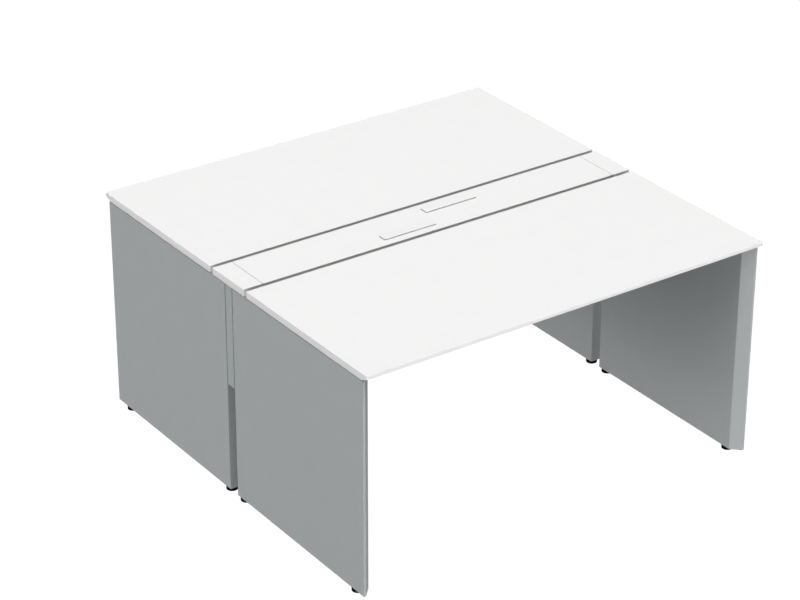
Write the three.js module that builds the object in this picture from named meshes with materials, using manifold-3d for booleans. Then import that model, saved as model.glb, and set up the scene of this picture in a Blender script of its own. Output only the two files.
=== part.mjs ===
// Benching desk for two: two worktops on panel legs share a centre strip with a lift-off lid.
// Millimetres, +Z up. X runs along the users' edges, Y from the front user to the rear user.
// The origin is on the floor, under the middle of the desk.

import * as THREE from 'three';
import { mergeVertices } from 'three/addons/utils/BufferGeometryUtils.js';
import Module from 'manifold-3d';

const wasm = await Module();
wasm.setup();

// Worktops
const DESK_WIDTH = 1400;
const DESK_HEIGHT = 722;
const TOP_DEPTH = 598;
const TOP_THICKNESS = 22;
const TOP_LIP = 11;
const TOP_BEVEL = 25;

// Centre strip
const CABLE_GAP = 14;
const STRIP_WIDTH = 166;
const STRIP_END_LENGTH = 65;
const LID_SEAM = 1;

// Pulls on the lid, low bars whose long sides lean in at the foot
const PULL_LENGTH = 186;
const PULL_WIDTH = 33;
const PULL_HEIGHT = 4.5;
const PULL_LEAN = 1;
const PULL_OFFSET_X = 103;
const PULL_OFFSET_Y = 40;

// Battens under the lid
const BATTEN_SECTION = 18;
const BATTEN_CLEARANCE = 1;

// Legs
const LEG_THICKNESS = 35;
const LEG_END_RECESS = 1;
const LEG_SETBACK = 18;
const LEG_LIP = 7;
const LEG_BEVEL = 29;
const LEG_SLOT = 40;

// Levelling feet and their inserts
const FOOT_HEIGHT = 12;
const FOOT_DIAMETER = 36;
const FOOT_CHAMFER = 1;
const FOOT_FROM_SLOT = 20;
const FOOT_FROM_USER_EDGE = 56;
const STUD_DIAMETER = 8;
const STUD_LENGTH = 38;
const STUD_HEADROOM = 4;
const INSERT_LENGTH = 30;
const INSERT_DIAMETER = 14;
const FLANGE_DIAMETER = 20;
const FLANGE_THICKNESS = 2;

// Centre stretcher
const STRETCHER_HEIGHT = 329;
const STRETCHER_RECESS = 0.2;
const STRETCHER_CLEARANCE = 0.3;

// Tie bolts and barrel nuts
const TIE_DIAMETER = 8;
const TIE_REACH = 70;
const TIE_FROM_EDGE = 60;
const TIE_HEADROOM = 4;
const BARREL_DIAMETER = 15;
const BARREL_LENGTH = 24;
const BARREL_FROM_SLOT = 55;

// Bearers
const BEARER_SPACING = 660;
const BEARER_WIDTH = 40;
const BEARER_THICKNESS = 6;
const BEARER_OVERLAP = 55;

// Angle brackets
const BRACKET_LEG = 40;
const BRACKET_THICKNESS = 3;
const BRACKET_LENGTH = 60;
const BRACKET_FROM_GAP = 60;
const BRACKET_FROM_USER_EDGE = 100;

// Cable trays and their bolts
const TRAY_LENGTH = 1180;
const TRAY_WIDTH = 100;
const TRAY_HEIGHT = 70;
const TRAY_SHEET = 1.5;
const TRAY_DROP = 70;
const TRAY_BOLT_SPACING = 800;
const TRAY_BOLT_DIAMETER = 6;
const TRAY_BOLT_HEAD = 12;
const TRAY_BOLT_HEAD_HEIGHT = 4;
const TRAY_BOLT_TAIL = 5;
const TRAY_BOLT_BELOW_RIM = 25;

// Dowels in the strip ends
const DOWEL_DIAMETER = 8;
const DOWEL_IN_STRIP = 12;
const DOWEL_IN_LEG = 18;
const DOWEL_FROM_SLOT = 30;

// Clearances: between seated pieces, round fixed pieces and round the feet's studs
const SEAT = 0.2;
const FIT = 0.15;
const RUN = 0.15;
const STUD_CLEARANCE = 1;

// How far a cutting tool passes the face that it opens
const OVERSHOOT = 1;

// Sides of a round piece
const FINE_SIDES = 24;
const SIDES = 16;

// Levels and lines that the pieces share
const undersideZ = DESK_HEIGHT - TOP_THICKNESS;
const restZ = undersideZ - SEAT;
const legBottomZ = FOOT_HEIGHT + SEAT;
const legHeight = restZ - legBottomZ;
const topInnerY = STRIP_WIDTH / 2 + CABLE_GAP;
const legOuterX = DESK_WIDTH / 2 - LEG_END_RECESS;
const legMiddleX = legOuterX - LEG_THICKNESS / 2;
const legInnerX = legOuterX - LEG_THICKNESS;
const legInnerY = LEG_SLOT / 2;
const legUserY = topInnerY + TOP_DEPTH - LEG_SETBACK;
const legDepth = legUserY - legInnerY;
const stripEndX = (DESK_WIDTH - STRIP_END_LENGTH) / 2;
const lidLength = DESK_WIDTH - 2 * (STRIP_END_LENGTH + LID_SEAM);
const stretcherHalf = LEG_SLOT / 2 - STRETCHER_CLEARANCE;
const stretcherBottomZ = restZ - STRETCHER_HEIGHT;
const trayBottomZ = undersideZ - TRAY_DROP - TRAY_HEIGHT;
const trayInnerY = stretcherHalf + SEAT;
const trayBoltZ = undersideZ - TRAY_DROP - TRAY_BOLT_BELOW_RIM;

const left = { name: 'left', sign: -1 };
const right = { name: 'right', sign: 1 };
const front = { name: 'front', sign: -1 };
const rear = { name: 'rear', sign: 1 };

const tieLevels = [
  { name: 'upper', z: restZ - TIE_FROM_EDGE },
  { name: 'lower', z: stretcherBottomZ + TIE_FROM_EDGE },
];
const footPlaces = [
  { name: 'inner', y: FOOT_FROM_SLOT },
  { name: 'outer', y: legDepth - FOOT_FROM_USER_EDGE },
];
const bracketPlaces = [
  { name: 'inner', y: topInnerY + BRACKET_FROM_GAP },
  { name: 'outer', y: legUserY - BRACKET_FROM_USER_EDGE },
];

// Finishes
const whiteBoard = { color: 0xf1f1f0, roughness: 0.55, metalness: 0 };
const greyBoard = { color: 0xb3b6b7, roughness: 0.6, metalness: 0 };
const whitePlastic = { color: 0xf3f3f2, roughness: 0.45, metalness: 0 };
const blackPlastic = { color: 0x131313, roughness: 0.5, metalness: 0 };
const greyNylon = { color: 0x4a4c4e, roughness: 0.6, metalness: 0 };
const greySteel = { color: 0x9a9da0, roughness: 0.5, metalness: 0.3 };
const brightSteel = { color: 0xb9bcbf, roughness: 0.3, metalness: 1 };
const beech = { color: 0xcfae82, roughness: 0.7, metalness: 0 };

const desk = new THREE.Group();

function place(name, geometry, finish, x, y, z) {
  const mesh = new THREE.Mesh(geometry, new THREE.MeshStandardMaterial(finish));
  mesh.name = name;
  mesh.position.set(x, y, z);
  desk.add(mesh);
}

// Solids

function solid(geometry) {
  const bare = geometry.clone();
  bare.deleteAttribute('normal');
  bare.deleteAttribute('uv');
  const merged = mergeVertices(bare);
  return new wasm.Manifold(new wasm.Mesh({
    numProp: 3,
    vertProperties: Float32Array.from(merged.attributes.position.array),
    triVerts: Uint32Array.from(merged.index.array),
  }));
}

function toGeometry(body) {
  const mesh = body.getMesh();
  const geometry = new THREE.BufferGeometry();
  geometry.setAttribute('position', new THREE.BufferAttribute(mesh.vertProperties, 3));
  geometry.setIndex(new THREE.BufferAttribute(mesh.triVerts, 1));
  geometry.computeVertexNormals();
  return geometry;
}

function cut(geometry, tools) {
  return toGeometry(tools.reduce((body, tool) => body.subtract(solid(tool)), solid(geometry)));
}

// Outlines are lists of [across, up] points, pushed along one axis and centred on it

const axisX = new THREE.Vector3(1, 0, 0);
const axisY = new THREE.Vector3(0, 1, 0);
const axisZ = new THREE.Vector3(0, 0, 1);
const alongX = new THREE.Matrix4().makeBasis(axisY, axisZ, axisX);
const alongY = new THREE.Matrix4().makeBasis(axisX, axisZ, axisY.clone().negate());

function extrude(points, length) {
  const shape = new THREE.Shape(points.map(([across, up]) => new THREE.Vector2(across, up)));
  return new THREE.ExtrudeGeometry(shape, { depth: length, bevelEnabled: false });
}

function extrudeX(points, length) {
  return extrude(points, length).translate(0, 0, -length / 2).applyMatrix4(alongX);
}

function extrudeY(points, length) {
  return extrude(points, length).translate(0, 0, -length / 2).applyMatrix4(alongY);
}

// Round pieces: rods stand on the Y axis until they are turned, lathes on the Z axis

function rodY(diameter, length) {
  return new THREE.CylinderGeometry(diameter / 2, diameter / 2, length, SIDES);
}

function rodX(diameter, length) {
  return rodY(diameter, length).rotateZ(Math.PI / 2);
}

function rodZ(diameter, length) {
  return rodY(diameter, length).rotateX(Math.PI / 2);
}

function lathe(points, sides) {
  const profile = points.map(([radius, height]) => new THREE.Vector2(radius, height));
  return new THREE.LatheGeometry(profile, sides);
}

function latheZ(points, sides) {
  return lathe(points, sides).rotateX(Math.PI / 2);
}

// Worktops

function worktopGeometry(end) {
  const outline = [
    [0, 0],
    [TOP_DEPTH - TOP_BEVEL, 0],
    [TOP_DEPTH, TOP_THICKNESS - TOP_LIP],
    [TOP_DEPTH, TOP_THICKNESS],
    [0, TOP_THICKNESS],
  ];
  return extrudeX(outline.map(([y, z]) => [end.sign * y, z]), DESK_WIDTH);
}

for (const end of [front, rear]) {
  place(`${end.name}_worktop`, worktopGeometry(end), whiteBoard, 0, end.sign * topInnerY, undersideZ);
}

// Legs, with their bores for inserts, tie bolts, barrel nuts and a dowel

function insertBore() {
  const flangeRadius = FLANGE_DIAMETER / 2 + FIT;
  const sleeveRadius = INSERT_DIAMETER / 2 + FIT;
  const studRadius = STUD_DIAMETER / 2 + STUD_CLEARANCE;
  const studTop = STUD_LENGTH + STUD_HEADROOM;
  return latheZ([
    [0, -OVERSHOOT],
    [flangeRadius, -OVERSHOOT],
    [flangeRadius, FLANGE_THICKNESS + FIT],
    [sleeveRadius, FLANGE_THICKNESS + FIT],
    [sleeveRadius, INSERT_LENGTH + FIT],
    [studRadius, INSERT_LENGTH + FIT],
    [studRadius, studTop],
    [0, studTop],
  ], SIDES);
}

function legGeometry(side, end) {
  const outline = [
    [0, 0],
    [0, legDepth],
    [LEG_LIP, legDepth],
    [LEG_THICKNESS, legDepth - LEG_BEVEL],
    [LEG_THICKNESS, 0],
  ];
  const body = extrude(outline.map(([x, y]) => [-side.sign * x, end.sign * y]), legHeight);
  const middleX = -side.sign * LEG_THICKNESS / 2;
  const tools = footPlaces.map((foot) => insertBore().translate(middleX, end.sign * foot.y, 0));
  for (const level of tieLevels) {
    const z = level.z - legBottomZ;
    const boltHole = rodY(TIE_DIAMETER + 2 * FIT, 2 * (TIE_REACH + TIE_HEADROOM));
    tools.push(boltHole.translate(middleX, 0, z));
    const barrelHole = rodX(BARREL_DIAMETER + 2 * FIT, LEG_THICKNESS);
    const barrelShift = (LEG_THICKNESS - BARREL_LENGTH) / 2 - FIT;
    tools.push(barrelHole.translate(middleX - side.sign * barrelShift, end.sign * BARREL_FROM_SLOT, z));
  }
  const dowelHole = rodZ(DOWEL_DIAMETER + 2 * FIT, 2 * (DOWEL_IN_LEG + FIT));
  tools.push(dowelHole.translate(middleX, end.sign * DOWEL_FROM_SLOT, legHeight));
  return cut(body, tools);
}

// Feet: a round pad and its stud, drawn from the floor up

function footGeometry() {
  const radius = FOOT_DIAMETER / 2;
  const studRadius = STUD_DIAMETER / 2;
  const studTop = FOOT_HEIGHT + STUD_LENGTH;
  return latheZ([
    [0, 0],
    [radius - FOOT_CHAMFER, 0],
    [radius, FOOT_CHAMFER],
    [radius, FOOT_HEIGHT - FOOT_CHAMFER],
    [radius - FOOT_CHAMFER, FOOT_HEIGHT],
    [studRadius, FOOT_HEIGHT],
    [studRadius, studTop],
    [0, studTop],
  ], FINE_SIDES);
}

function insertGeometry() {
  const bore = STUD_DIAMETER / 2 + RUN;
  return latheZ([
    [bore, 0],
    [FLANGE_DIAMETER / 2, 0],
    [FLANGE_DIAMETER / 2, FLANGE_THICKNESS],
    [INSERT_DIAMETER / 2, FLANGE_THICKNESS],
    [INSERT_DIAMETER / 2, INSERT_LENGTH],
    [bore, INSERT_LENGTH],
    [bore, 0],
  ], SIDES);
}

// Barrel nuts, bored across for the tie bolt

function barrelNutGeometry() {
  const barrel = rodX(BARREL_DIAMETER, BARREL_LENGTH);
  return cut(barrel, [rodY(TIE_DIAMETER + 2 * FIT, 2 * BARREL_DIAMETER)]);
}

// Angle brackets between a leg and a worktop

function bracketGeometry(side) {
  const outline = [
    [0, 0],
    [BRACKET_LEG, 0],
    [BRACKET_LEG, -BRACKET_THICKNESS],
    [BRACKET_THICKNESS, -BRACKET_THICKNESS],
    [BRACKET_THICKNESS, -BRACKET_LEG],
    [0, -BRACKET_LEG],
  ];
  return extrudeY(outline.map(([x, z]) => [-side.sign * x, z]), BRACKET_LENGTH);
}

for (const side of [left, right]) {
  const middleX = side.sign * legMiddleX;
  for (const end of [front, rear]) {
    const corner = `${end.name}_${side.name}`;
    const slotY = end.sign * legInnerY;
    const dowelY = slotY + end.sign * DOWEL_FROM_SLOT;
    const dowelLength = DOWEL_IN_STRIP + SEAT + DOWEL_IN_LEG;
    const dowelZ = restZ - DOWEL_IN_LEG + dowelLength / 2;
    place(`${corner}_leg`, legGeometry(side, end), greyBoard, side.sign * legOuterX, slotY, legBottomZ);
    place(`${corner}_strip_dowel`, rodZ(DOWEL_DIAMETER, dowelLength), beech, middleX, dowelY, dowelZ);
    for (const foot of footPlaces) {
      const y = slotY + end.sign * foot.y;
      place(`${corner}_${foot.name}_foot`, footGeometry(), blackPlastic, middleX, y, 0);
      place(`${corner}_${foot.name}_foot_insert`, insertGeometry(), greyNylon, middleX, y, legBottomZ);
    }
    for (const level of tieLevels) {
      const y = slotY + end.sign * BARREL_FROM_SLOT;
      place(`${corner}_${level.name}_barrel_nut`, barrelNutGeometry(), brightSteel, middleX, y, level.z);
    }
    for (const bracket of bracketPlaces) {
      const x = side.sign * (legInnerX - SEAT);
      const y = end.sign * bracket.y;
      place(`${corner}_${bracket.name}_bracket`, bracketGeometry(side), greySteel, x, y, restZ);
    }
  }
  for (const level of tieLevels) {
    const tieBolt = rodY(TIE_DIAMETER, LEG_SLOT + 2 * TIE_REACH);
    place(`${side.name}_${level.name}_tie_bolt`, tieBolt, brightSteel, middleX, 0, level.z);
  }
}

// Centre stretcher, notched for the bearers and bored for the tie bolts and tray bolts

function stretcherGeometry() {
  const length = 2 * (legOuterX - STRETCHER_RECESS);
  const thickness = 2 * stretcherHalf;
  const body = new THREE.BoxGeometry(length, thickness, STRETCHER_HEIGHT);
  const middleZ = stretcherBottomZ + STRETCHER_HEIGHT / 2;
  const notchDepth = BEARER_THICKNESS + FIT;
  const tools = [];
  for (const side of [left, right]) {
    const notch = new THREE.BoxGeometry(BEARER_WIDTH + 2 * FIT, 2 * thickness, 2 * notchDepth);
    tools.push(notch.translate(side.sign * BEARER_SPACING / 2, 0, STRETCHER_HEIGHT / 2));
    for (const level of tieLevels) {
      const tieHole = rodY(TIE_DIAMETER + 2 * FIT, 2 * thickness);
      tools.push(tieHole.translate(side.sign * legMiddleX, 0, level.z - middleZ));
    }
    const trayHole = rodY(TRAY_BOLT_DIAMETER + 2 * FIT, 2 * thickness);
    tools.push(trayHole.translate(side.sign * TRAY_BOLT_SPACING / 2, 0, trayBoltZ - middleZ));
  }
  return cut(body, tools);
}

place('centre_stretcher', stretcherGeometry(), greyBoard, 0, 0, stretcherBottomZ + STRETCHER_HEIGHT / 2);

// Bearers under the worktops' inner edges and the lid

for (const side of [left, right]) {
  const length = 2 * (topInnerY + BEARER_OVERLAP);
  const bar = new THREE.BoxGeometry(BEARER_WIDTH, length, BEARER_THICKNESS);
  const x = side.sign * BEARER_SPACING / 2;
  place(`${side.name}_bearer`, bar, greySteel, x, 0, restZ - BEARER_THICKNESS / 2);
}

// Cable trays on both faces of the stretcher

function trayGeometry(end) {
  const outline = [
    [0, 0],
    [TRAY_WIDTH, 0],
    [TRAY_WIDTH, TRAY_HEIGHT],
    [TRAY_WIDTH - TRAY_SHEET, TRAY_HEIGHT],
    [TRAY_WIDTH - TRAY_SHEET, TRAY_SHEET],
    [TRAY_SHEET, TRAY_SHEET],
    [TRAY_SHEET, TRAY_HEIGHT],
    [0, TRAY_HEIGHT],
  ];
  const body = extrudeX(outline.map(([y, z]) => [end.sign * y, z]), TRAY_LENGTH);
  const holes = [left, right].map((side) => {
    const hole = rodY(TRAY_BOLT_DIAMETER + 2 * FIT, 4 * TRAY_SHEET);
    return hole.translate(side.sign * TRAY_BOLT_SPACING / 2, 0, trayBoltZ - trayBottomZ);
  });
  return cut(body, holes);
}

for (const end of [front, rear]) {
  place(`${end.name}_cable_tray`, trayGeometry(end), greySteel, 0, end.sign * trayInnerY, trayBottomZ);
}

// Tray bolts: a head inside the front tray and a shank through the stretcher into the rear tray

function trayBoltGeometry() {
  const shank = SEAT + 2 * (trayInnerY + TRAY_SHEET) + TRAY_BOLT_TAIL;
  return lathe([
    [0, -TRAY_BOLT_HEAD_HEIGHT],
    [TRAY_BOLT_HEAD / 2, -TRAY_BOLT_HEAD_HEIGHT],
    [TRAY_BOLT_HEAD / 2, 0],
    [TRAY_BOLT_DIAMETER / 2, 0],
    [TRAY_BOLT_DIAMETER / 2, shank],
    [0, shank],
  ], SIDES);
}

for (const side of [left, right]) {
  const x = side.sign * TRAY_BOLT_SPACING / 2;
  const headY = -(trayInnerY + TRAY_SHEET + SEAT);
  place(`${side.name}_tray_bolt`, trayBoltGeometry(), brightSteel, x, headY, trayBoltZ);
}

// Centre strip: fixed ends on the legs, and the lid between them

function stripEndGeometry(side) {
  const body = new THREE.BoxGeometry(STRIP_END_LENGTH, STRIP_WIDTH, TOP_THICKNESS);
  const dowelX = side.sign * (legMiddleX - stripEndX);
  const holes = [front, rear].map((end) => {
    const hole = rodZ(DOWEL_DIAMETER + 2 * FIT, 2 * (DOWEL_IN_STRIP + FIT));
    return hole.translate(dowelX, end.sign * (legInnerY + DOWEL_FROM_SLOT), -TOP_THICKNESS / 2);
  });
  return cut(body, holes);
}

for (const side of [left, right]) {
  const x = side.sign * stripEndX;
  place(`${side.name}_strip_end`, stripEndGeometry(side), whiteBoard, x, 0, undersideZ + TOP_THICKNESS / 2);
}

const lidGeometry = new THREE.BoxGeometry(lidLength, STRIP_WIDTH, TOP_THICKNESS);
place('strip_lid', lidGeometry, whiteBoard, 0, 0, undersideZ + TOP_THICKNESS / 2);

// Battens under the lid, between the bearers and on both sides of the stretcher

for (const end of [front, rear]) {
  const length = BEARER_SPACING - BEARER_WIDTH - 2 * BATTEN_CLEARANCE;
  const batten = new THREE.BoxGeometry(length, BATTEN_SECTION, BATTEN_SECTION);
  const y = end.sign * (stretcherHalf + BATTEN_CLEARANCE + BATTEN_SECTION / 2);
  place(`${end.name}_lid_batten`, batten, beech, 0, y, restZ - BATTEN_SECTION / 2);
}

// Pulls, set diagonally so that each user has one to the left of the middle

function pullGeometry() {
  const topHalf = PULL_WIDTH / 2;
  const footHalf = topHalf - PULL_LEAN;
  const outline = [
    [-footHalf, 0],
    [footHalf, 0],
    [topHalf, PULL_HEIGHT],
    [-topHalf, PULL_HEIGHT],
  ];
  return extrudeX(outline, PULL_LENGTH);
}

for (const end of [front, rear]) {
  const x = end.sign * PULL_OFFSET_X;
  const y = end.sign * PULL_OFFSET_Y;
  place(`${end.name}_pull`, pullGeometry(), whitePlastic, x, y, DESK_HEIGHT + SEAT);
}

export default desk;
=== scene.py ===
import math

import bmesh
import bpy
from mathutils import Matrix, Vector


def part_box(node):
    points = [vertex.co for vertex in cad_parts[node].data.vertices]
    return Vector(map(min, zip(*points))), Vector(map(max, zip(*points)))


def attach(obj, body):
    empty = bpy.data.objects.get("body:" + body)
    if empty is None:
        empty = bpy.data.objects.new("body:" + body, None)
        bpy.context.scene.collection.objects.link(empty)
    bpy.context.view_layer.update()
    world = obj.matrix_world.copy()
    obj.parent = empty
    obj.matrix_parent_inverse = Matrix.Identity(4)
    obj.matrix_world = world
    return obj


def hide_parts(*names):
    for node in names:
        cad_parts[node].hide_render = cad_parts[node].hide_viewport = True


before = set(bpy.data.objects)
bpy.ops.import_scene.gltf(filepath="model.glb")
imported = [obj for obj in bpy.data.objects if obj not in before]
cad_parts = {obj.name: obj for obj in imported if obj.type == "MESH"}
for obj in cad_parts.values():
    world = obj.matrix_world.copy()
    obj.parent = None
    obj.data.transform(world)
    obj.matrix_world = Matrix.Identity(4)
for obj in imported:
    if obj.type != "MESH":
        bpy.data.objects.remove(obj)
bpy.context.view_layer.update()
mm = 0.001
print("frame loaded:", len(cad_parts), "nodes")

ends = {"front": -1, "rear": 1}
sides = {"left": -1, "right": 1}
corners = [(end, side) for end in ends for side in sides]
footPlaces = ["inner", "outer"]
tieLevels = ["upper", "lower"]
halves = (-0.5, 0.5)
axisX, axisY, axisZ = range(3)

# camera, at the photograph's viewing angle
cameraView = {
    "azimuth": -35.172,
    "elevation": 27.655,
    "roll": 0.13,
    "distance": 7.7218,
    "target": (-0.37527, -0.38771, 0.72281),
    "lens": 124.374,
    "sensor": 36.0,
    "reach": 100.0,
}


def setCamera(view):
    data = bpy.data.cameras.new("deskCamera")
    data.sensor_fit = "HORIZONTAL"
    data.sensor_width = view["sensor"]
    data.lens = view["lens"]
    data.clip_end = view["reach"]
    turn = (
        Matrix.Rotation(math.radians(view["azimuth"]), 4, "Z")
        @ Matrix.Rotation(math.radians(90 - view["elevation"]), 4, "X")
        @ Matrix.Rotation(math.radians(view["roll"]), 4, "Z")
    )
    back = turn.to_3x3() @ Vector((0, 0, view["distance"]))
    camera = bpy.data.objects.new("deskCamera", data)
    camera.matrix_world = Matrix.Translation(Vector(view["target"]) + back) @ turn
    bpy.context.scene.collection.objects.link(camera)
    bpy.context.scene.camera = camera


setCamera(cameraView)
print("camera set")

# the colour sockets of a mix node, whose names repeat
mixSocket = {"share": 0, "first": 6, "second": 7, "result": 2}


# one wrapped socket, so that shader maths reads as plain sums
class Sock:
    def __init__(self, tree, socket):
        self.tree = tree
        self.socket = socket

    def node(self, kind, settings=None, inputs=None, out=0):
        made = self.tree.nodes.new(kind)
        for name, value in (settings or {}).items():
            if name == "stops":
                ramp = made.color_ramp.elements
                while len(ramp) < len(value):
                    ramp.new(1.0)
                for stop, (position, color) in zip(ramp, value):
                    stop.position = position
                    stop.color = rgba(color)
            else:
                setattr(made, name, value)
        for name, value in (inputs or {}).items():
            if isinstance(value, Sock):
                self.tree.links.new(value.socket, made.inputs[name])
            else:
                made.inputs[name].default_value = value
        return Sock(self.tree, made.outputs[out]) if made.outputs else None

    def maths(self, operation, first, second):
        return self.node("ShaderNodeMath", {"operation": operation}, {0: first, 1: second})

    def __add__(self, other):
        return self.maths("ADD", self, other)

    __radd__ = __add__

    def __sub__(self, other):
        return self.maths("SUBTRACT", self, other)

    def __rsub__(self, other):
        return self.maths("SUBTRACT", other, self)

    def __mul__(self, other):
        return self.maths("MULTIPLY", self, other)

    def grown(self):
        return self.maths("EXPONENT", self, 0.0)

    def dot(self, other):
        settings = {"operation": "DOT_PRODUCT"}
        return self.node("ShaderNodeVectorMath", settings, {0: self, 1: other}, "Value")

    def stretch(self, x, y, z):
        return self.node("ShaderNodeMapping", {}, {"Vector": self, "Scale": (x, y, z)})

    def noise(self, scale, detail=2.0, roughness=0.5):
        inputs = {"Vector": self, "Scale": scale, "Detail": detail, "Roughness": roughness}
        return self.node("ShaderNodeTexNoise", {}, inputs)

    def cells(self, scale, out):
        return self.node("ShaderNodeTexVoronoi", {}, {"Vector": self, "Scale": scale}, out)

    def clamped(self, low, high):
        inputs = {"Value": self, "From Min": low, "From Max": high}
        return self.node("ShaderNodeMapRange", {"clamp": True}, inputs)

    def between(self, first, second):
        inputs = {mixSocket["share"]: self, mixSocket["first"]: first, mixSocket["second"]: second}
        return self.node("ShaderNodeMix", {"data_type": "RGBA"}, inputs, mixSocket["result"])

    def tint(self, limits, first, second):
        return self.clamped(*limits).between(rgba(first), rgba(second))

    def blend(self, other, share):
        return self * share + other * (1 - share)

    def swing(self, spread):
        # noise lies round a half, so the mean stays where it is
        return (self - 0.5) * spread


def rgba(color):
    return (*color, 1.0)


def startFinish(name):
    material = bpy.data.materials.new(name)
    material.use_nodes = True
    material.node_tree.nodes.clear()
    coordinates = material.node_tree.nodes.new("ShaderNodeTexCoord")
    return material, Sock(material.node_tree, coordinates.outputs["Object"])


def endFinish(place, color, rough, height, relief, fixed=None):
    bumpInputs = {"Strength": relief["strength"], "Distance": relief["depth"], "Height": height}
    bump = place.node("ShaderNodeBump", {}, bumpInputs)
    inputs = {"Base Color": color, "Roughness": rough, "Normal": bump, **(fixed or {})}
    shader = place.node("ShaderNodeBsdfPrincipled", {}, inputs)
    place.node("ShaderNodeOutputMaterial", {}, {"Surface": shader})


# studio light: a wide soft box overhead and a low glow all round
# the floor is plain and white, takes no shadow and gives no reflection
studio = {
    "white": (1.0, 1.0, 1.0),
    "key": 4.39,
    "keyFrom": (-0.0826, -0.1586, 0.9839),
    "keyEdge": 0.763,
    "keySoft": 0.2,
    "fill": 3.18,
    "fillLean": (-0.83, -2.1, 0.0),
    "fillLevel": -0.142,
    "fillSpread": 0.137,
    "floorHalf": 30.0,
    "floorDrop": 15.5 * mm,  # below the feet's full reach, so that a foot screwed out still shows
    "floorWhite": 1.05,
    "floorShade": (0.995, 0.995, 0.995),
    "floorMottle": 0.7,
}


def setLight(look):
    world = bpy.data.worlds.new("softDome")
    world.use_nodes = True
    tree = world.node_tree
    tree.nodes.clear()
    coordinates = tree.nodes.new("ShaderNodeTexCoord")
    direction = Sock(tree, coordinates.outputs["Generated"])
    keyLimits = {"From Min": look["keyEdge"], "From Max": look["keyEdge"] + look["keySoft"]}
    keyInputs = {"Value": direction.dot(look["keyFrom"]), **keyLimits}
    key = direction.node("ShaderNodeMapRange", {"interpolation_type": "SMOOTHSTEP"}, keyInputs)
    height = direction.dot((0, 0, 1))
    away = (height - look["fillLevel"]) * (1 / look["fillSpread"])
    band = (away * away * -1).grown()
    glow = key * look["key"] + band * (direction.dot(look["fillLean"]) + look["fill"])
    paths = tree.nodes.new("ShaderNodeLightPath")
    seen = Sock(tree, paths.outputs["Is Camera Ray"])
    strength = glow + seen * (look["floorWhite"] - glow)
    domeInputs = {"Color": rgba(look["white"]), "Strength": strength}
    dome = direction.node("ShaderNodeBackground", {}, domeInputs)
    direction.node("ShaderNodeOutputWorld", {}, {"Surface": dome})
    bpy.context.scene.world = world
    bpy.context.scene.cycles.diffuse_bounces = 0  # direct light only, so that boards stay even
    bpy.context.scene.view_settings.view_transform = "Standard"
    bpy.context.scene.view_settings.look = "None"


def setFloor(look):
    bm = bmesh.new()
    level = Matrix.Translation((0, 0, -look["floorDrop"]))
    bmesh.ops.create_grid(bm, x_segments=1, y_segments=1, size=look["floorHalf"], matrix=level)
    mesh = bpy.data.meshes.new("floor")
    bm.to_mesh(mesh)
    bm.free()
    material, place = startFinish("floorWhite")
    color = place.noise(look["floorMottle"]).between(rgba(look["white"]), rgba(look["floorShade"]))
    paint = place.node("ShaderNodeEmission", {}, {"Color": color, "Strength": look["floorWhite"]})
    place.node("ShaderNodeOutputMaterial", {}, {"Surface": paint})
    mesh.materials.append(material)
    floor = bpy.data.objects.new("floor", mesh)
    bpy.context.scene.collection.objects.link(floor)
    floor.visible_diffuse = False
    floor.visible_glossy = False
    floor.visible_shadow = False


setLight(studio)
setFloor(studio)
print("light and floor set")

# faced board: fine pearl relief on the face, long rolled lines on the edging, a thin glue line between
whiteBoard = {
    "color": (0.86, 0.86, 0.855),
    "shade": (0.84, 0.841, 0.839),
    "edge": (0.826, 0.826, 0.821),
    "edgeShade": (0.805, 0.805, 0.8),
    "glue": (0.42, 0.41, 0.39),
    "rough": 0.5,
}
greyBoard = {
    "color": (0.418, 0.443, 0.449),
    "shade": (0.406, 0.43, 0.436),
    "edge": (0.418, 0.443, 0.449),
    "edgeShade": (0.404, 0.428, 0.434),
    # the grey glue tone also paints the stretcher's groove walls dark: painted shade in the grooves
    "glue": (0.19, 0.19, 0.185),
    "rough": 0.52,
}
# the grey edging again, drawn darker for the leg faces that look into the narrow slot: painted shade
paintedSlotShade = {**greyBoard, "edge": (0.297, 0.314, 0.319), "edgeShade": (0.286, 0.303, 0.308)}
boardSheen = {"Specular IOR Level": 0.2}
pearl = {
    "fine": 1300.0,
    "coarse": 420.0,
    "mottle": 14.0,
    "mottleShare": 0.6,
    "fineRelief": 0.6,
    "limits": (0.35, 0.75),
    "spread": 0.1,
    "strength": 0.1,
    "depth": 0.00008,
}
rolled = {
    "along": 6.0,
    "across": 1600.0,
    "lineShare": 0.5,
    "limits": (0.35, 0.7),
    "smoother": 0.06,
    "spread": 0.08,
    "strength": 0.08,
    "depth": 0.00005,
}
glueLine = {"breaks": 240.0, "limits": (0.4, 0.62), "rough": 0.7, "spread": 0.1}


def faceFinish(name, look):
    material, place = startFinish(name)
    fine = place.noise(pearl["fine"])
    coarse = place.noise(pearl["coarse"], detail=1.0)
    mottle = place.noise(pearl["mottle"], detail=3.0)
    pattern = mottle.blend(fine, pearl["mottleShare"])
    color = pattern.tint(pearl["limits"], look["color"], look["shade"])
    rough = look["rough"] + fine.swing(pearl["spread"]) + mottle.swing(pearl["spread"])
    endFinish(place, color, rough, fine.blend(coarse, pearl["fineRelief"]), pearl, boardSheen)
    return material


def edgeFinish(name, look, upright):
    material, place = startFinish(name)
    low, high = rolled["along"], rolled["across"]
    scales = (high, high, low) if upright else (low, low, high)
    lines = place.stretch(*scales).noise(1.0)
    mottle = place.noise(pearl["mottle"])
    pattern = lines.blend(mottle, rolled["lineShare"])
    color = pattern.tint(rolled["limits"], look["edge"], look["edgeShade"])
    rough = look["rough"] - rolled["smoother"] + lines.swing(rolled["spread"])
    endFinish(place, color, rough, lines, rolled, boardSheen)
    return material


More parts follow.
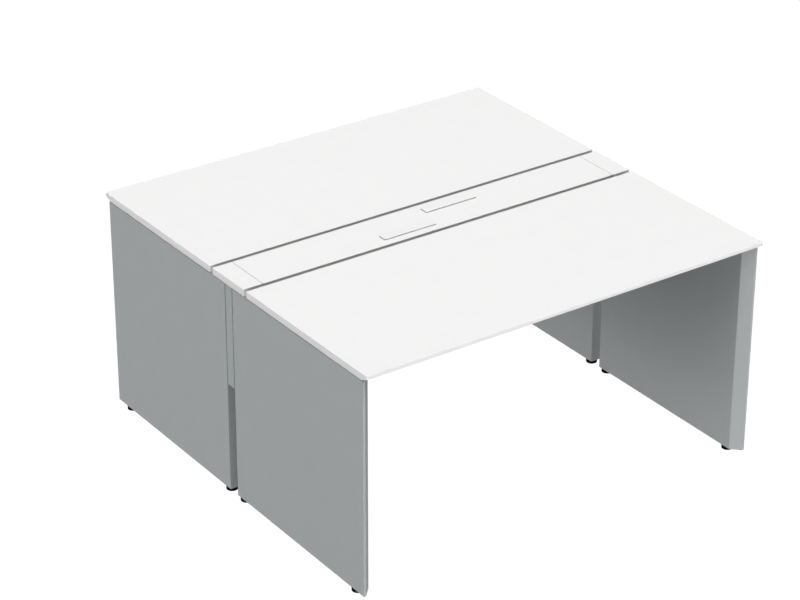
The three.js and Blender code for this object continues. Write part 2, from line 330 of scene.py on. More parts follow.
def glueFinish(name, look):
    material, place = startFinish(name)
    breaks = place.noise(glueLine["breaks"], detail=3.0)
    color = breaks.tint(glueLine["limits"], look["glue"], look["edgeShade"])
    rough = glueLine["rough"] + breaks.swing(glueLine["spread"])
    endFinish(place, color, rough, breaks, rolled, boardSheen)
    return material


# pressed chips, seen only inside the bores
chips = {
    "flake": 420.0,
    "press": 2.2,
    "stops": [(0.0, (0.16, 0.09, 0.04)), (0.5, (0.38, 0.25, 0.13)), (1.0, (0.56, 0.42, 0.26))],
    "rough": 0.8,
    "spread": 0.1,
    "strength": 0.6,
    "depth": 0.0004,
}


def chipFinish(name):
    material, place = startFinish(name)
    flakes = place.stretch(1.0, 1.0, chips["press"])
    pick = flakes.cells(chips["flake"], "Color")
    tone = place.node("ShaderNodeSeparateColor", {}, {"Color": pick})
    color = place.node("ShaderNodeValToRGB", {"stops": chips["stops"]}, {"Fac": tone})
    rough = chips["rough"] + tone * chips["spread"]
    endFinish(place, color, rough, flakes.cells(chips["flake"], "Distance"), chips)
    return material


whiteFace = faceFinish("white board face", whiteBoard)
whiteEdge = edgeFinish("white board edging", whiteBoard, False)
whiteGlue = glueFinish("white board glue line", whiteBoard)
greyFace = faceFinish("grey board face", greyBoard)
greyEdge = edgeFinish("grey board upright edging", greyBoard, True)
greyLongEdge = edgeFinish("grey board long edging", greyBoard, False)
# darker slot edging: painted shade in the narrow slot between the legs
greySlotPaintedShade = edgeFinish("grey board slot edging with painted shade", paintedSlotShade, True)
greyGlueAndPaintedShade = glueFinish("grey board glue line and painted groove shade", greyBoard)
boardChips = chipFinish("pressed chips")

# moulded plastics
mouldedLooks = {
    "white pull": {
        "color": (0.885, 0.885, 0.88),
        "shade": (0.865, 0.865, 0.86),
        "rough": 0.4,
        "grain": 1800.0,
    },
    "black foot": {
        "color": (0.003, 0.003, 0.003),
        "shade": (0.006, 0.006, 0.006),
        "rough": 0.6,
        "grain": 1500.0,
        "fixed": {"Specular IOR Level": 0.04},
    },
    "grey insert": {
        "color": (0.07, 0.074, 0.08),
        "shade": (0.09, 0.095, 0.1),
        "rough": 0.55,
        "grain": 1700.0,
    },
}
moulded = {
    "mottle": 60.0,
    "grainShare": 0.5,
    "limits": (0.35, 0.7),
    "spread": 0.16,
    "strength": 0.25,
    "depth": 0.00008,
}


def mouldedFinish(name):
    look = mouldedLooks[name]
    material, place = startFinish(name)
    grain = place.noise(look["grain"])
    mottle = place.noise(moulded["mottle"], detail=3.0)
    pattern = grain.blend(mottle, moulded["grainShare"])
    color = pattern.tint(moulded["limits"], look["color"], look["shade"])
    rough = look["rough"] + grain.swing(moulded["spread"]) + mottle.swing(moulded["spread"])
    endFinish(place, color, rough, grain, moulded, look.get("fixed"))
    return material


whitePlastic = mouldedFinish("white pull")
blackPlastic = mouldedFinish("black foot")
greyNylon = mouldedFinish("grey insert")

# powder coat, with its orange peel and a light fleck
powder = {
    "color": (0.33, 0.342, 0.35),
    "fleck": (0.4, 0.412, 0.42),
    "peel": 520.0,
    "fine": 2400.0,
    "limits": (0.5, 0.72),
    "peelRelief": 0.8,
    "rough": 0.46,
    "spread": 0.18,
    "strength": 0.35,
    "depth": 0.00012,
}


def powderFinish(name):
    material, place = startFinish(name)
    peel = place.noise(powder["peel"], detail=1.0)
    fine = place.noise(powder["fine"])
    color = fine.tint(powder["limits"], powder["color"], powder["fleck"])
    rough = powder["rough"] + peel.swing(powder["spread"])
    endFinish(place, color, rough, peel.blend(fine, powder["peelRelief"]), powder)
    return material


# bright zinc plate, with drawn lines and a faint warm and blue cast
zinc = {
    "cool": (0.56, 0.6, 0.64),
    "warm": (0.66, 0.64, 0.58),
    "cloud": 160.0,
    "limits": (0.35, 0.65),
    "lines": 2600.0,
    "drawn": 0.05,
    "rough": 0.3,
    "spread": 0.2,
    "strength": 0.15,
    "depth": 0.00005,
}


def zincFinish(name):
    material, place = startFinish(name)
    cloud = place.noise(zinc["cloud"])
    lines = place.stretch(zinc["drawn"], 1.0, 1.0).noise(zinc["lines"])
    color = cloud.tint(zinc["limits"], zinc["cool"], zinc["warm"])
    rough = zinc["rough"] + cloud.swing(zinc["spread"]) + lines.swing(zinc["spread"])
    endFinish(place, color, rough, lines, zinc, {"Metallic": 1.0})
    return material


# plain beech along X, with short dark flecks
beechLook = {
    "pale": (0.6, 0.4, 0.23),
    "dark": (0.46, 0.28, 0.14),
    "fleck": (0.3, 0.16, 0.075),
    "grain": 90.0,
    "grainDrawn": 0.04,
    "limits": (0.35, 0.65),
    "fleckScale": 420.0,
    "fleckDrawn": 0.12,
    "fleckLimits": (0.64, 0.7),
    "grainRelief": 0.7,
    "rough": 0.58,
    "spread": 0.2,
    "strength": 0.3,
    "depth": 0.0002,
}


def beechFinish(name):
    material, place = startFinish(name)
    long = place.stretch(beechLook["grainDrawn"], 1.0, 1.0)
    grain = long.noise(beechLook["grain"], detail=4.0, roughness=0.6)
    short = place.stretch(beechLook["fleckDrawn"], 1.0, 1.0)
    marks = short.noise(beechLook["fleckScale"], detail=1.0)
    wood = grain.tint(beechLook["limits"], beechLook["pale"], beechLook["dark"])
    color = marks.clamped(*beechLook["fleckLimits"]).between(wood, rgba(beechLook["fleck"]))
    rough = beechLook["rough"] + grain.swing(beechLook["spread"])
    endFinish(place, color, rough, grain.blend(marks, beechLook["grainRelief"]), beechLook)
    return material


greySteel = powderFinish("grey powder coat")
brightSteel = zincFinish("bright zinc plate")
beech = beechFinish("beech")
print("finishes made:", len(bpy.data.materials))

# shared measures: least angles of edges to round, in degrees, limits of alignment, and facets of rods
creaseAngle = 20.0
squareAngle = 60.0
parallel = 0.999
facing = 0.99
upright = 0.01
boreFacets = 24
plainFacets = 32
headFacets = 40
foldSteps = {"inside": 4, "outside": 5}


# shared shaping steps
def pushOutline(points, push):
    bm = bmesh.new()
    face = bm.faces.new([bm.verts.new(point) for point in points])
    grown = bmesh.ops.extrude_face_region(bm, geom=[face])["geom"]
    moved = [item for item in grown if isinstance(item, bmesh.types.BMVert)]
    bmesh.ops.translate(bm, verts=moved, vec=push)
    bmesh.ops.recalc_face_normals(bm, faces=bm.faces)
    return bm


def boxShape(low, high):
    bm = bmesh.new()
    middle = (Vector(low) + Vector(high)) / 2
    size = Vector(high) - Vector(low)
    place = Matrix.Translation(middle) @ Matrix.Diagonal((*size, 1.0))
    bmesh.ops.create_cube(bm, size=1.0, matrix=place)
    return bm


def rodShape(radius, first, last, facets):
    bm = bmesh.new()
    run = Vector(last) - Vector(first)
    turn = run.to_track_quat("Z", "Y").to_matrix().to_4x4()
    middle = (Vector(first) + Vector(last)) / 2
    bmesh.ops.create_cone(
        bm,
        cap_ends=True,
        segments=facets,
        radius1=radius,
        radius2=radius,
        depth=run.length,
        matrix=Matrix.Translation(middle) @ turn,
    )
    return bm


def middleOf(node):
    low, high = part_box(node)
    return (low + high) / 2


def pointOn(node, axis, level):
    # the node's middle, moved along one axis to a level
    point = middleOf(node)
    point[axis] = level
    return point


def rodThrough(node, axis, radius, first, last, facets=plainFacets):
    return rodShape(radius, pointOn(node, axis, first), pointOn(node, axis, last), facets)


def bevelEdges(bm, edges, width, steps):
    made = bmesh.ops.bevel(
        bm,
        geom=edges,
        offset=width,
        offset_type="OFFSET",
        segments=steps,
        profile=0.5,
        affect="EDGES",
        clamp_overlap=True,
        material=-1,
    )
    for face in made["faces"]:
        face.smooth = True


def sharpEdges(bm, least=creaseAngle):
    return [edge for edge in bm.edges if edge.calc_face_angle(0.0) > math.radians(least)]


def edgeRun(edge):
    return (edge.verts[1].co - edge.verts[0].co).normalized()


def edgesAlong(bm, axis):
    return [edge for edge in bm.edges if abs(edgeRun(edge)[axis]) > parallel]


def toMesh(bm, name, finishes):
    mesh = bpy.data.meshes.new(name)
    bm.to_mesh(mesh)
    bm.free()
    for finish in finishes:
        mesh.materials.append(finish)
    return mesh


def cutShapes(mesh, cutters, index=0):
    # each cutter leaves its walls in the finish of the given index
    piece = bpy.data.objects.new("blank", mesh)
    bpy.context.scene.collection.objects.link(piece)
    for cutter in cutters:
        for face in cutter.faces:
            face.material_index = index
        tool = bpy.data.objects.new("cutter", toMesh(cutter, "cutter", mesh.materials))
        bpy.context.scene.collection.objects.link(tool)
        step = piece.modifiers.new("cut", "BOOLEAN")
        step.operation = "DIFFERENCE"
        step.solver = "EXACT"
        step.object = tool
    seen = piece.evaluated_get(bpy.context.evaluated_depsgraph_get())
    result = bpy.data.meshes.new_from_object(seen)
    result.name = mesh.name
    tools = [step.object for step in piece.modifiers]
    for spare in [piece, *tools]:
        bpy.data.objects.remove(spare)
    return result


def setPiece(name, mesh, body, nodes=()):
    piece = bpy.data.objects.new(name, mesh)
    bpy.context.scene.collection.objects.link(piece)
    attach(piece, body)
    if nodes:
        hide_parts(*nodes)


# edging on a board: the outer skin of its edges, and a thin glue line on its faces
edging = {"thick": 1.0 * mm, "glue": 0.15 * mm}
# places in a board's list of finishes, after the face, which is the first
boardIndex = {"edge": 1, "glue": 2, "chips": 3, "slotPaintedShade": 4}
whiteSet = [whiteFace, whiteEdge, whiteGlue, boardChips]
greySet = [greyFace, greyEdge, greyGlueAndPaintedShade, boardChips, greySlotPaintedShade]
greyLongSet = [greyFace, greyLongEdge, greyGlueAndPaintedShade, boardChips]


def edgeBoard(bm, faceAxis, edgePlanes):
    glueEnd = edging["thick"] + edging["glue"]
    for point, outward in edgePlanes:
        for depth in (edging["thick"], glueEnd):
            everything = bm.verts[:] + bm.edges[:] + bm.faces[:]
            level = point - outward * depth
            bmesh.ops.bisect_plane(bm, geom=everything, plane_co=level, plane_no=outward)
    for face in bm.faces:
        middle = face.calc_center_median()
        depth = min((point - middle).dot(outward) for point, outward in edgePlanes)
        onFace = abs(face.normal[faceAxis]) > facing
        if depth < edging["thick"] or not onFace:
            face.material_index = boardIndex["edge"]
        elif depth < glueEnd:
            face.material_index = boardIndex["glue"]


def boxPlanes(low, high, axes):
    planes = []
    for axis in axes:
        outward = Vector((0, 0, 0))
        outward[axis] = 1.0
        planes += [(high, outward), (low, -outward)]
    return planes


# worktops, with a lip and a reverse bevel on the user's edge
worktop = {"lip": 11 * mm, "bevel": 25 * mm, "arris": 0.8 * mm, "steps": 2}


def makeWorktop(end):
    node = f"{end}_worktop"
    low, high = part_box(node)
    sign = ends[end]
    inner, user = (low.y, high.y) if sign > 0 else (high.y, low.y)
    outline = [
        (low.x, inner, low.z),
        (low.x, user - sign * worktop["bevel"], low.z),
        (low.x, user, high.z - worktop["lip"]),
        (low.x, user, high.z),
        (low.x, inner, high.z),
    ]
    bm = pushOutline(outline, (high.x - low.x, 0, 0))
    bevelEdges(bm, sharpEdges(bm), worktop["arris"], worktop["steps"])
    edgeBoard(bm, axisZ, boxPlanes(low, high, (axisX, axisY)))
    setPiece(f"{node}_board", toMesh(bm, node, whiteSet), "desk", [node])


for end in ends:
    makeWorktop(end)

# centre strip: its lid and its two fixed ends
strip = {"arris": 0.5 * mm, "steps": 2, "clearance": 0.15 * mm}


def makeStripBoard(node, body, bores):
    low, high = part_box(node)
    bm = boxShape(low, high)
    bevelEdges(bm, sharpEdges(bm), strip["arris"], strip["steps"])
    edgeBoard(bm, axisZ, boxPlanes(low, high, (axisX, axisY)))
    mesh = toMesh(bm, node, whiteSet)
    if bores:
        mesh = cutShapes(mesh, bores, boardIndex["chips"])
    setPiece(f"{node}_board", mesh, body, [node])


def dowelBore(node):
    low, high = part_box(node)
    gap = strip["clearance"]
    radius = (high.x - low.x) / 2 + gap
    return rodThrough(node, axisZ, radius, low.z - gap, high.z + gap, boreFacets)


makeStripBoard("strip_lid", "lid", [])
for side in sides:
    dowels = [dowelBore(f"{end}_{side}_strip_dowel") for end in ends]
    makeStripBoard(f"{side}_strip_end", "desk", dowels)

# legs, with a lip and a bevel on the user's edge and a shadow groove under the worktop's end
leg = {
    "lip": 7 * mm,
    "bevel": 29 * mm,
    "groove": 2.2 * mm,
    "grooveDepth": 3 * mm,
    "past": 5 * mm,
    "arris": 0.5 * mm,
    "steps": 2,
    "clearance": 0.15 * mm,
    "sleeve": 14 * mm,
    "flange": 2 * mm,
    "studBore": 10 * mm,
    "studTop": 42 * mm,
    "tieTop": 74 * mm,
}


def legBores(corner, side, low, high):
    gap = leg["clearance"]
    sign = sides[side]
    bores = [dowelBore(f"{corner}_strip_dowel")]
    below = low.z - gap
    for place in footPlaces:
        insert = f"{corner}_{place}_foot_insert"
        start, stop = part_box(insert)
        flange = (stop.x - start.x) / 2 + gap
        flangeTop = start.z + leg["flange"] + gap
        studTop = low.z + leg["studTop"]
        bores.append(rodThrough(insert, axisZ, flange, below, flangeTop))
        bores.append(rodThrough(insert, axisZ, leg["sleeve"] / 2 + gap, below, stop.z + gap))
        bores.append(rodThrough(insert, axisZ, leg["studBore"] / 2, below, studTop, boreFacets))
    inner = low.x if sign > 0 else high.x
    slot = high.y if abs(high.y) < abs(low.y) else low.y
    away = -1 if slot < 0 else 1
    for level in tieLevels:
        nut = f"{corner}_{level}_barrel_nut"
        start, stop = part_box(nut)
        outer = stop.x if sign > 0 else start.x
        radius = (stop.z - start.z) / 2 + gap
        bores.append(rodThrough(nut, axisX, radius, inner - sign * gap, outer + sign * gap))
        bolt = f"{side}_{level}_tie_bolt"
        start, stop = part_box(bolt)
        radius = (stop.z - start.z) / 2 + gap
        last = away * leg["tieTop"]
        bores.append(rodThrough(bolt, axisY, radius, slot - away * gap, last, boreFacets))
    return bores


def makeLeg(end, side):
    corner = f"{end}_{side}"
    node = f"{corner}_leg"
    low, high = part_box(node)
    outer, inner = (high.x, low.x) if sides[side] > 0 else (low.x, high.x)
    inward = -sides[side]
    slot, user = (low.y, high.y) if ends[end] > 0 else (high.y, low.y)
    outline = [
        (outer, slot, low.z),
        (outer, user, low.z),
        (outer + inward * leg["lip"], user, low.z),
        (inner, user - ends[end] * leg["bevel"], low.z),
        (inner, slot, low.z),
    ]
    bm = pushOutline(outline, (0, 0, high.z - low.z))
    bevelEdges(bm, sharpEdges(bm), leg["arris"], leg["steps"])
    edgeBoard(bm, axisX, boxPlanes(low, high, (axisY, axisZ)))
    # faces against the slot take the darker slot edging, painted shade for the narrow slot between the
    # legs
    for face in bm.faces:
        if abs(face.calc_center_median().y - slot) < edging["thick"]:
            face.material_index = boardIndex["slotPaintedShade"]
    past = leg["past"]
    grooveX = sorted((outer - inward * past, outer + inward * leg["grooveDepth"]))
    grooveLow = (grooveX[0], low.y - past, high.z - leg["groove"])
    groove = boxShape(grooveLow, (grooveX[1], high.y + past, high.z + past))
    mesh = cutShapes(toMesh(bm, node, greySet), [groove], boardIndex["edge"])
    mesh = cutShapes(mesh, legBores(corner, side, low, high), boardIndex["chips"])
    setPiece(f"{node}_board", mesh, "desk", [node])


for end, side in corners:
    makeLeg(end, side)
print("worktops, strip and legs made")

# centre stretcher, let in for the bearers, with a shadow groove beside each leg, whose walls are
# painted dark as shade
stretcher = {
    "groove": 2.8 * mm,
    "grooveDepth": 10 * mm,
    "arris": 0.5 * mm,
    "steps": 2,
    "clearance": 0.15 * mm,
    "past": 5 * mm,
}


def makeStretcher():
    node = "centre_stretcher"
    low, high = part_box(node)
    gap = stretcher["clearance"]
    past = stretcher["past"]
    bm = boxShape(low, high)
    bevelEdges(bm, sharpEdges(bm), stretcher["arris"], stretcher["steps"])
    edgeBoard(bm, axisY, boxPlanes(low, high, (axisX, axisZ)))
    cutters = []
    grooves = []
    for side in sides:
        endX = high.x if sides[side] > 0 else low.x
        grooveX = sorted((endX + sides[side] * past, endX - sides[side] * stretcher["grooveDepth"]))
        for face, inward in ((low.y, 1), (high.y, -1)):
            grooveY = sorted((face - inward * past, face + inward * stretcher["groove"]))
            grooveLow = (grooveX[0], grooveY[0], low.z - past)
            grooves.append(boxShape(grooveLow, (grooveX[1], grooveY[1], high.z + past)))
        start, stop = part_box(f"{side}_bearer")
        notchLow = (start.x - gap, low.y - past, start.z - gap)
        notchHigh = (stop.x + gap, high.y + past, stop.z + past)
        cutters.append(boxShape(notchLow, notchHigh))
        widths = {}
        for level in tieLevels:
            start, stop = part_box(f"{side}_{level}_tie_bolt")
            widths[f"{side}_{level}_tie_bolt"] = stop.z - start.z
        widths[f"{side}_tray_bolt"] = trayBolt["shank"]
        for bolt, width in widths.items():
            radius = width / 2 + gap
            cutters.append(rodThrough(bolt, axisY, radius, low.y - past, high.y + past, boreFacets))
    # the groove walls take the dark glue-line finish: painted shade deep in the shadow grooves
    mesh = cutShapes(toMesh(bm, node, greyLongSet), grooves, boardIndex["glue"])
    mesh = cutShapes(mesh, cutters, boardIndex["chips"])
    setPiece(f"{node}_board", mesh, "desk", [node])


# tray bolts: a button head with a hexagon socket, and a threaded end
trayBolt = {
    "shank": 6 * mm,
    "headHeight": 4 * mm,
    "crown": 2.4 * mm,
    "crownSteps": 5,
    "socket": 2.3 * mm,
    "socketSides": 6,
    "socketDepth": 2.2 * mm,
    "pitch": 1.0 * mm,
    "threadDepth": 0.3 * mm,
    "threadLength": 16 * mm,
}


def threadRod(node, axis, look, first, last):
    # a thread as rings: every other ring of points is drawn in by the thread's depth
    radius = look["shank"] / 2
    bm = rodThrough(node, axis, radius, first, last, boreFacets)
    start = pointOn(node, axis, first)
    run = pointOn(node, axis, last) - start
    along = run.normalized()
    rings = 2 * max(2, round(run.length / look["pitch"]))
    bmesh.ops.subdivide_edges(bm, edges=edgesAlong(bm, axis), cuts=rings - 1, use_grid_fill=True)
    for vert in bm.verts:
        reach = (vert.co - start).dot(along)
        if round(reach / run.length * rings) % 2 == 0:
            centre = start + along * reach
            vert.co = centre + (vert.co - centre) * (radius - look["threadDepth"]) / radius
    for face in bm.faces:
        face.smooth = len(face.verts) == 4
    return bm


def joinShapes(shapes):
    bm = bmesh.new()
    for shape in shapes:
        spare = bpy.data.meshes.new("spare")
        shape.to_mesh(spare)
        shape.free()
        bm.from_mesh(spare)
        bpy.data.meshes.remove(spare)
    return bm


def makeTrayBolt(side):
    node = f"{side}_tray_bolt"
    low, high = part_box(node)
    headEnd = low.y + trayBolt["headHeight"]
    head = rodThrough(node, axisY, (high.x - low.x) / 2, headEnd, low.y, headFacets)
    headMiddle = low.y + trayBolt["headHeight"] / 2
    crown = [e for e in sharpEdges(head) if max(v.co.y for v in e.verts) < headMiddle]
    bevelEdges(head, crown, trayBolt["crown"], trayBolt["crownSteps"])
    width, depth, count = trayBolt["socket"], trayBolt["socketDepth"], trayBolt["socketSides"]
    socket = rodThrough(node, axisY, width, low.y - depth, low.y + depth, count)
    mesh = cutShapes(toMesh(head, node, [brightSteel]), [socket])
    threadStart = high.y - trayBolt["threadLength"]
    shank = rodThrough(node, axisY, trayBolt["shank"] / 2, headEnd, threadStart, boreFacets)
    thread = threadRod(node, axisY, trayBolt, threadStart, high.y)
    bm = joinShapes([shank, thread])
    bm.from_mesh(mesh)
    setPiece(f"{node}_button", toMesh(bm, node, [brightSteel]), "desk", [node])


makeStretcher()
for side in sides:
    makeTrayBolt(side)

# cable trays: folded sheet with punched slots for cable ties
tray = {
    "sheet": 1.5 * mm,
    "bend": 3 * mm,
    "arris": 0.3 * mm,
    "slotLength": 40 * mm,
    "slotWidth": 6 * mm,
    "slotRound": 0.49,
    "slotSteps": 4,
    "slotPitch": 118 * mm,
    "slotCount": 9,
    "slotRows": (-0.25, 0.25),
    "clearance": 0.15 * mm,
}


def makeTray(end):
    node = f"{end}_cable_tray"
    low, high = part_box(node)
    sheet = tray["sheet"]
    outline = [
        (low.x, low.y, low.z),
        (low.x, high.y, low.z),
        (low.x, high.y, high.z),
        (low.x, high.y - sheet, high.z),
        (low.x, high.y - sheet, low.z + sheet),
        (low.x, low.y + sheet, low.z + sheet),
        (low.x, low.y + sheet, high.z),
        (low.x, low.y, high.z),
    ]
    bm = pushOutline(outline, (high.x - low.x, 0, 0))
    folds = [e for e in edgesAlong(bm, axisX) if e.verts[0].co.z < low.z + sheet + tray["arris"]]
    inside = [e for e in folds if e.verts[0].co.z >= low.z + tray["arris"]]
    bevelEdges(bm, inside, tray["bend"] - sheet, foldSteps["inside"])
    outside = [e for e in edgesAlong(bm, axisX) if e.verts[0].co.z < low.z + tray["arris"]]
    bevelEdges(bm, outside, tray["bend"], foldSteps["outside"])
    bevelEdges(bm, sharpEdges(bm, squareAngle), tray["arris"], 1)
    cutters = []
    wall = low.y if ends[end] > 0 else high.y
    radius = trayBolt["shank"] / 2 + tray["clearance"]
    for side in sides:
        bolt = f"{side}_tray_bolt"
        cutters.append(rodThrough(bolt, axisY, radius, wall - 2 * sheet, wall + 2 * sheet, boreFacets))
    middle = (low + high) / 2
    half = Vector((tray["slotLength"] / 2, tray["slotWidth"] / 2, 2 * sheet))
    for number in range(tray["slotCount"]):
        x = middle.x + (number - (tray["slotCount"] - 1) / 2) * tray["slotPitch"]
        for shift in tray["slotRows"]:
            y = middle.y + shift * (high.y - low.y)
            centre = Vector((x, y, low.z))
            slot = boxShape(centre - half, centre + half)
            rounding = tray["slotWidth"] * tray["slotRound"]
            bevelEdges(slot, edgesAlong(slot, axisZ), rounding, tray["slotSteps"])
            cutters.append(slot)
    mesh = cutShapes(toMesh(bm, node, [greySteel]), cutters)
    setPiece(f"{node}_sheet", mesh, "desk", [node])


for end in ends:
    makeTray(end)

# one pan-head wood screw, set wherever a fitting is fixed
screw = {
    "radius": 4.2 * mm,
    "facets": 28,
    "height": 2.0 * mm,
    "crown": 1.5 * mm,
    "crownSteps": 4,
    "recess": 1.1 * mm,
    "bar": 3.6 * mm,
    "web": 0.9 * mm,
}


def makeScrew():
    bm = rodShape(screw["radius"], (0, 0, 0), (0, 0, screw["height"]), screw["facets"])
    top = [e for e in sharpEdges(bm) if min(v.co.z for v in e.verts) > screw["height"] / 2]
    bevelEdges(bm, top, screw["crown"], screw["crownSteps"])
    cutters = []
    for x, y in ((screw["bar"], screw["web"]), (screw["web"], screw["bar"])):
        low = Vector((-x / 2, -y / 2, screw["height"] - screw["recess"]))
        cutters.append(boxShape(low, Vector((x / 2, y / 2, 2 * screw["height"]))))
    return cutShapes(toMesh(bm, "screw", [brightSteel]), cutters)


screwMesh = makeScrew()


def setScrews(name, body, places):
    # each place is a point on a face and the way that the head looks
    bm = bmesh.new()
    for point, outward in places:
        before = len(bm.verts)
        bm.from_mesh(screwMesh)
        bm.verts.ensure_lookup_table()
        turn = Vector(outward).to_track_quat("Z", "Y").to_matrix().to_4x4()
        bmesh.ops.transform(bm, matrix=Matrix.Translation(point) @ turn, verts=bm.verts[before:])
    setPiece(name, toMesh(bm, name, [brightSteel]), body)


# bearers: flat bars with round corners, screwed up into the worktops
bearer = {
    "corner": 6 * mm,
    "cornerSteps": 5,
    "arris": 0.5 * mm,
    "screwIn": 22 * mm,
    "screwApart": 20 * mm,
}


def makeBearer(side):
    node = f"{side}_bearer"
    low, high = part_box(node)
    bm = boxShape(low, high)
    bevelEdges(bm, edgesAlong(bm, axisZ), bearer["corner"], bearer["cornerSteps"])
    bevelEdges(bm, sharpEdges(bm, squareAngle), bearer["arris"], 1)
    setPiece(f"{node}_bar", toMesh(bm, node, [greySteel]), "desk", [node])
    middle = (low + high) / 2
    places = []
    for y in (low.y + bearer["screwIn"], high.y - bearer["screwIn"]):
        for shift in halves:
            places.append(((middle.x + shift * bearer["screwApart"], y, low.z), (0, 0, -1)))
    setScrews(f"{side}_bearer_screws", "desk", places)


for side in sides:
    makeBearer(side)

# angle brackets: folded strap with round corners, two screws in each leaf
bracket = {
    "sheet": 3 * mm,
    "bend": 5 * mm,
    "corner": 8 * mm,
    "cornerSteps": 5,
    "arris": 0.4 * mm,
    "screwIn": 24 * mm,
    "screwApart": 34 * mm,
}


def foldLines(bm, x, z):
    # the lines along the bracket that run through one corner of its outline
    near = bracket["sheet"] / 4
    return [e for e in edgesAlong(bm, axisY) if (e.verts[0].co.xz - Vector((x, z))).length < near]


def makeBracket(corner, place):
    node = f"{corner}_{place}_bracket"
    low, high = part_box(node)
    sheet = bracket["sheet"]
    sign = 1 if low.x > 0 else -1
    outer, inner = (high.x, low.x) if sign > 0 else (low.x, high.x)
    outline = [
        (outer, low.y, high.z),
        (inner, low.y, high.z),
        (inner, low.y, high.z - sheet),
        (outer - sign * sheet, low.y, high.z - sheet),
        (outer - sign * sheet, low.y, low.z),
        (outer, low.y, low.z),
    ]
    bm = pushOutline(outline, (0, high.y - low.y, 0))
    tips = [e for e in edgesAlong(bm, axisZ) if abs(e.verts[0].co.x - inner) < sheet / 2]
    tips += [e for e in edgesAlong(bm, axisX) if abs(e.verts[0].co.z - low.z) < sheet / 2]
    bevelEdges(bm, tips, bracket["corner"], bracket["cornerSteps"])
    inFold = foldLines(bm, outer - sign * sheet, high.z - sheet)
    bevelEdges(bm, inFold, bracket["bend"] - sheet, foldSteps["inside"])
    bevelEdges(bm, foldLines(bm, outer, high.z), bracket["bend"], foldSteps["outside"])
    bevelEdges(bm, sharpEdges(bm, squareAngle), bracket["arris"], 1)
    setPiece(f"{node}_strap", toMesh(bm, node, [greySteel]), "desk", [node])
    places = []
    for shift in halves:
        y = (low.y + high.y) / 2 + shift * bracket["screwApart"]
        places.append(((outer - sign * bracket["screwIn"], y, high.z - sheet), (0, 0, -1)))
        places.append(((outer - sign * sheet, y, high.z - bracket["screwIn"]), (-sign, 0, 0)))
    setScrews(f"{node}_screws", "desk", places)


for end, side in corners:
    for place in footPlaces:
        makeBracket(f"{end}_{side}", place)

# barrel nuts: chamfered, bored across for the tie bolt, with a screwdriver slot in the end that shows
barrel = {
    "chamfer": 0.8 * mm,
    "chamferSteps": 2,
    "bore": 8.3 * mm,
    "slotWidth": 1.8 * mm,
    "slotDepth": 1.6 * mm,
}


def makeBarrelNut(corner, side, level):
    node = f"{corner}_{level}_barrel_nut"
    low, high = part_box(node)
    middle = middleOf(node)
    radius = (high.z - low.z) / 2
    shown, hidden = (low.x, high.x) if sides[side] > 0 else (high.x, low.x)
    bm = rodThrough(node, axisX, radius, hidden, shown, headFacets)
    bevelEdges(bm, sharpEdges(bm, squareAngle), barrel["chamfer"], barrel["chamferSteps"])
    bore = rodThrough(node, axisY, barrel["bore"] / 2, low.y - radius, high.y + radius, boreFacets)
    inward = sides[side] * barrel["slotDepth"]
    half = barrel["slotWidth"] / 2
    slotX = sorted((shown - inward, shown + inward))
    slotLow = (slotX[0], low.y - half, middle.z - half)
    slot = boxShape(slotLow, (slotX[1], high.y + half, middle.z + half))
    mesh = cutShapes(toMesh(bm, node, [brightSteel]), [bore, slot])
    setPiece(f"{node}_turned", mesh, "desk", [node])


for end, side in corners:
    for level in tieLevels:
        makeBarrelNut(f"{end}_{side}", side, level)
print("stretcher, trays and fittings made")

# battens under the lid, with their screws
batten = {"arris": 1.0 * mm, "steps": 2, "screws": 4, "endIn": 40 * mm}


def makeBatten(end):
    node = f"{end}_lid_batten"
    low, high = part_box(node)
    bm = boxShape(low, high)
    bevelEdges(bm, sharpEdges(bm), batten["arris"], batten["steps"])
    setPiece(f"{node}_wood", toMesh(bm, node, [beech]), "lid", [node])
    first, last = low.x + batten["endIn"], high.x - batten["endIn"]
    places = []
    for number in range(batten["screws"]):
        x = first + (last - first) * number / (batten["screws"] - 1)
        places.append(((x, (low.y + high.y) / 2, low.z), (0, 0, -1)))
    setScrews(f"{node}_screws", "lid", places)


# pulls: low bars with eased corners, whose long sides lean in at the foot
pull = {
    "lean": 1 * mm,
    "corner": 4 * mm,
    "edge": 4 * mm,
    "steps": 5,
    "screwApart": 120 * mm,
    "screwAside": 4 * mm,
}


def makePull(end):
    node = f"{end}_pull"
    low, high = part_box(node)
    outline = [
        (low.x, low.y + pull["lean"], low.z),
        (low.x, high.y - pull["lean"], low.z),
        (low.x, high.y, high.z),
        (low.x, low.y, high.z),
    ]
    bm = pushOutline(outline, (high.x - low.x, 0, 0))
    uprights = [e for e in bm.edges if abs(e.verts[0].co.z - e.verts[1].co.z) > mm]
    bevelEdges(bm, uprights, pull["corner"], pull["steps"])
    rims = [e for e in sharpEdges(bm, squareAngle) if min(v.co.z for v in e.verts) > high.z - mm]
    bevelEdges(bm, rims, pull["edge"], pull["steps"])
    setPiece(f"{node}_grip", toMesh(bm, node, [whitePlastic]), "lid", [node])
    middle = (low + high) / 2
    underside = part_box("strip_lid")[0].z
    y = middle.y + ends[end] * pull["screwAside"]
    places = [((middle.x + shift * pull["screwApart"], y, underside), (0, 0, -1)) for shift in halves]
    setScrews(f"{node}_screws", "lid", places)


for end in ends:
    makeBatten(end)
    makePull(end)
print("lid fittings made")

# levelling feet: a moulded pad with grip notches round its rim and a recessed sole, on a threaded stud
foot = {
    "padHeight": 12 * mm,
    "facets": 48,
    "sole": 0.8 * mm,
    "crown": 1.0 * mm,
    "rimSteps": 3,
    "notchEdge": 0.35 * mm,
    "notchDepth": 0.5 * mm,
    "soleRim": 2.5 * mm,
    "soleDepth": 0.6 * mm,
    "seatRim": 5.0 * mm,
    "seatWidth": 1.5 * mm,
    "seatDepth": 0.8 * mm,
    "shank": 8 * mm,
    "pitch": 1.25 * mm,
    "threadDepth": 0.45 * mm,
}


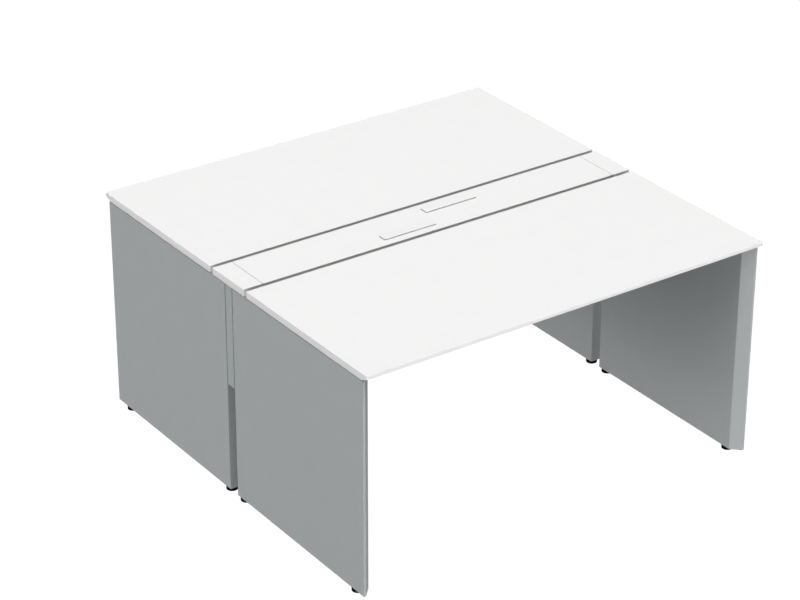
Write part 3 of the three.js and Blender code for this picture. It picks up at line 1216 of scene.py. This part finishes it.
def sinkFaces(bm, faces, rim, slope, depth):
    # a flat rim, then a sloping step down to a sunk middle
    bmesh.ops.inset_region(bm, faces=faces, thickness=rim, use_even_offset=True)
    bmesh.ops.inset_region(bm, faces=faces, thickness=slope, depth=-depth, use_even_offset=True)


def makeFoot(corner, place):
    node = f"{corner}_{place}_foot"
    low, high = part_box(node)
    x, y = middleOf(node).xy
    top = low.z + foot["padHeight"]
    radius = (high.x - low.x) / 2
    bm = rodThrough(node, axisZ, radius, low.z, top, foot["facets"])
    upper = [e for e in sharpEdges(bm, squareAngle) if e.verts[0].co.z >= top - foot["crown"]]
    bevelEdges(bm, upper, foot["crown"], foot["rimSteps"])
    soleMiddle = low.z + foot["sole"] / 2
    lower = [e for e in sharpEdges(bm, squareAngle) if e.verts[0].co.z < soleMiddle]
    bevelEdges(bm, lower, foot["sole"], foot["rimSteps"])
    wall = [f for f in bm.faces if abs(f.normal.z) < upright]
    wall.sort(key=lambda f: math.atan2(f.calc_center_median().y - y, f.calc_center_median().x - x))
    edge, depth = foot["notchEdge"], -foot["notchDepth"]
    bmesh.ops.inset_individual(bm, faces=wall[::2], thickness=edge, depth=depth, use_even_offset=True)
    sole = [f for f in bm.faces if f.normal.z < -facing]
    sinkFaces(bm, sole, foot["soleRim"], foot["soleDepth"], foot["soleDepth"])
    seat = [f for f in bm.faces if f.normal.z > facing]
    sinkFaces(bm, seat, foot["seatRim"], foot["seatWidth"], foot["seatDepth"])
    setPiece(f"{node}_pad", toMesh(bm, node, [blackPlastic]), node, [node])
    stud = threadRod(node, axisZ, foot, top - foot["seatDepth"], high.z)
    setPiece(f"{node}_stud", toMesh(stud, f"{node}_stud", [brightSteel]), node)


for end, side in corners:
    for place in footPlaces:
        makeFoot(f"{end}_{side}", place)
print("feet made")

# what is shut away inside keeps its own shape
inside = {"foot_insert": greyNylon, "tie_bolt": brightSteel, "strip_dowel": beech}


def dressInside():
    for name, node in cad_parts.items():
        for ending, finish in inside.items():
            if name.endswith(ending):
                node.data.materials.clear()
                node.data.materials.append(finish)


dressInside()
